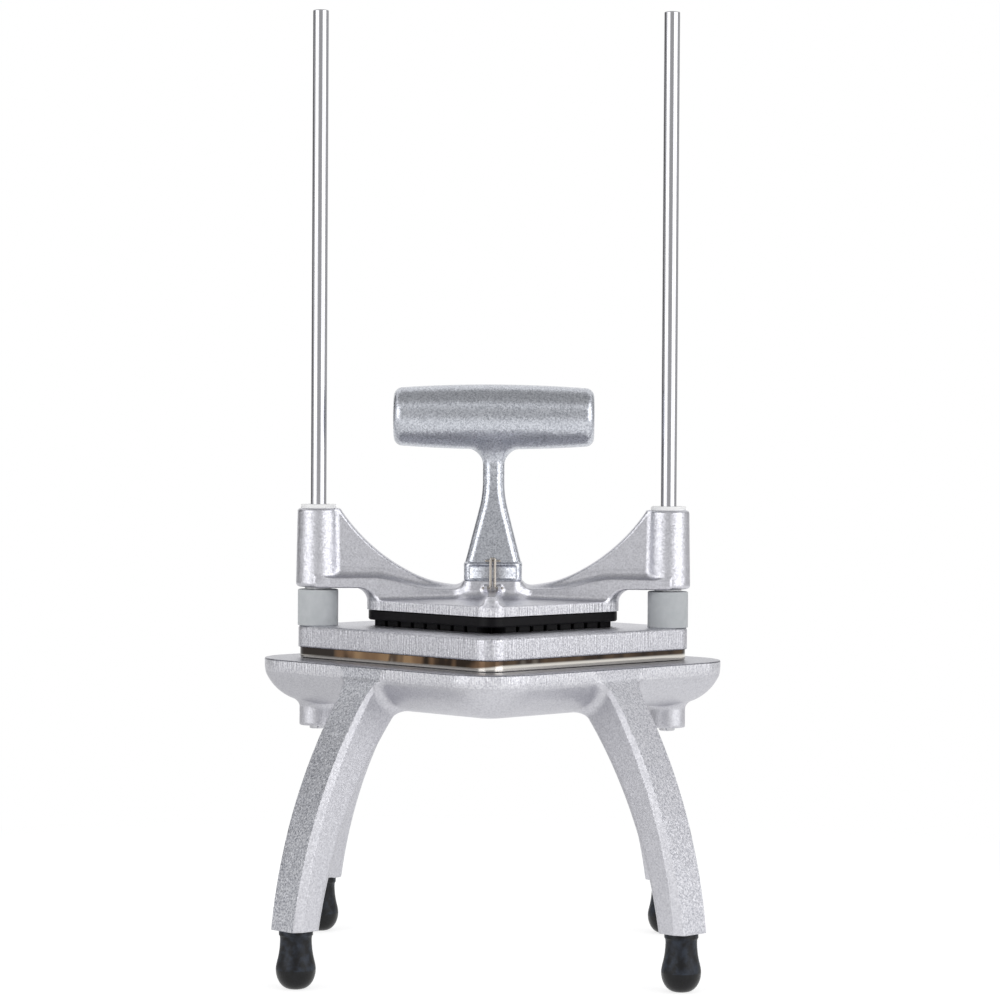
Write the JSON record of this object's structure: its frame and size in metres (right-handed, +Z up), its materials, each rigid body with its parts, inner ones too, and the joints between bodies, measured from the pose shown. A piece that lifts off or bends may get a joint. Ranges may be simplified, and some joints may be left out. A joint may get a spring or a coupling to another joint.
{
  "type": "bulk vegetable chopper",
  "caption": "Push-down vegetable chopper: a T-handled pusher slides on upright rods and drives food through a grid of crossed blades on a four-legged cast base.",
  "frame": {"origin": "on the table, under the middle of the base", "axes": "+Z up along the rods, the rods on the X axis, front towards -Y, the square tray's corners on the X and Y axes"},
  "size_m": [0.228, 0.228, 0.474],
  "materials": {
    "cast_aluminium": "sand-cast and tumbled, satin",
    "frame_aluminium": "sand-cast, sides linished",
    "handle_aluminium": "cast and burnished",
    "rod_steel": "ground and polished",
    "blade_steel": "ground",
    "band_steel": "bright rolled",
    "screw_steel": "plain",
    "clip_wire": "bright spring wire",
    "foot_rubber": "moulded, matt",
    "bumper_rubber": "moulded, matt",
    "block_nylon": "moulded, satin",
    "bushing_nylon": "moulded, satin"
  },
  "bodies": {
    "stand": {"base_casting": "cast_aluminium", "foot_front_left": "foot_rubber", "foot_front_right": "foot_rubber", "foot_rear_left": "foot_rubber", "foot_rear_right": "foot_rubber", "guide_rod_left": "rod_steel", "guide_rod_right": "rod_steel", "rod_set_screws": "screw_steel", "blade_frame": "frame_aluminium", "blade_band": "band_steel", "band_screws": "screw_steel", "bumper_left": "bumper_rubber", "bumper_right": "bumper_rubber", "blade_upper_1": "blade_steel", "blade_upper_2": "blade_steel", "blade_upper_3": "blade_steel", "blade_upper_4": "blade_steel", "blade_upper_5": "blade_steel", "blade_upper_6": "blade_steel", "blade_upper_7": "blade_steel", "blade_upper_8": "blade_steel", "blade_lower_1": "blade_steel", "blade_lower_2": "blade_steel", "blade_lower_3": "blade_steel", "blade_lower_4": "blade_steel", "blade_lower_5": "blade_steel", "blade_lower_6": "blade_steel", "blade_lower_7": "blade_steel", "blade_lower_8": "blade_steel"},
    "pusher": {"pusher_casting": "cast_aluminium", "bushing_upper_left": "bushing_nylon", "bushing_upper_right": "bushing_nylon", "bushing_lower_left": "bushing_nylon", "bushing_lower_right": "bushing_nylon", "pusher_block": "block_nylon", "block_screws": "screw_steel", "handle": "handle_aluminium"},
    "front_clip": {"handle_clip_front": "clip_wire"},
    "rear_clip": {"handle_clip_rear": "clip_wire"}
  },
  "joints": [
    {"name": "pusher_slide", "type": "slide", "parent": "stand", "child": "pusher", "axis": [0, 0, 1], "range_m": [0, 0.24]},
    {"name": "front_clip_hinge", "type": "hinge", "parent": "pusher", "child": "front_clip", "pos_m": [0, -0.0146, 0.1869], "axis": [1, 0, 0], "range_deg": [0, 80]},
    {"name": "rear_clip_hinge", "type": "hinge", "parent": "pusher", "child": "rear_clip", "pos_m": [0, 0.0146, 0.1869], "axis": [-1, 0, 0], "range_deg": [0, 80]}
  ]
}
